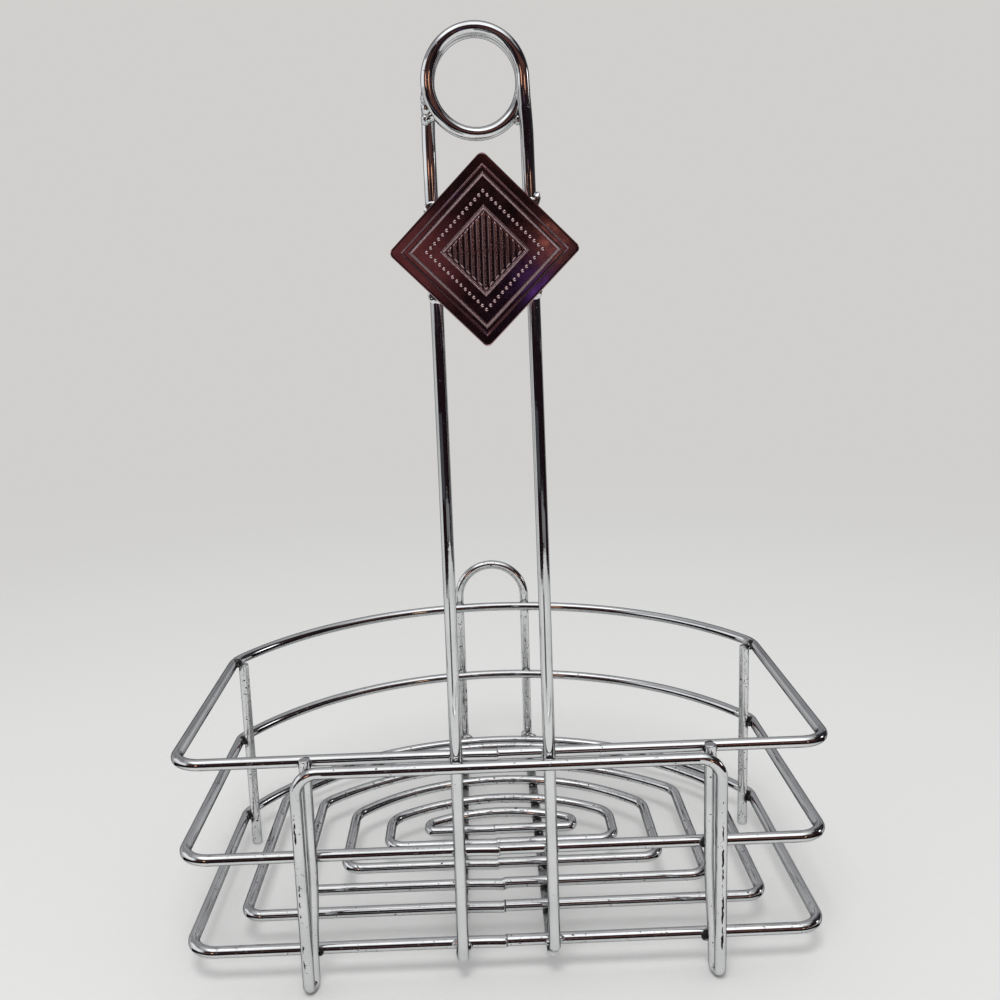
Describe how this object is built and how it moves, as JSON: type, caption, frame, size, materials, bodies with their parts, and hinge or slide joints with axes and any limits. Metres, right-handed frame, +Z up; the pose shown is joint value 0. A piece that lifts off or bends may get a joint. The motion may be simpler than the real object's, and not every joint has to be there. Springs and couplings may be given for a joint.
{
  "type": "condiment caddy",
  "caption": "Freestanding chromed wire table caddy for condiments: stacked D-shaped rings, nested wire floor, looped carrying handle with a diamond badge, hairpin front feet.",
  "frame": {"origin": "on the table, under the middle of the part's bounding box", "axes": "+Z up; the front, with the rail and the badge, faces -Y; +X points to the right of someone who faces the front"},
  "size_m": [0.2708, 0.2234, 0.375],
  "materials": {
    "wire": "bright chrome plate on steel wire, lightly pitted on the feet and floor",
    "badge": "glossy dark maroon lacquer",
    "weld": "weld metal plated with the wire"
  },
  "bodies": {
    "root": {"bottom_ring": "wire", "middle_ring": "wire", "top_ring": "wire", "floor_ring_1": "wire", "floor_ring_2": "wire", "floor_ring_3": "wire", "floor_ring_4": "wire", "floor_ring_5": "wire", "rear_arch": "wire", "front_frame": "wire", "handle": "wire", "rear_leg_left": "wire", "rear_leg_right": "wire", "badge": "badge", "handle_welds": "weld", "rail_welds": "weld", "strand_welds": "weld", "arch_welds": "weld", "floor_welds": "weld", "rear_leg_welds": "weld", "grip_welds": "weld", "badge_welds": "weld"}
  },
  "joints": []
}
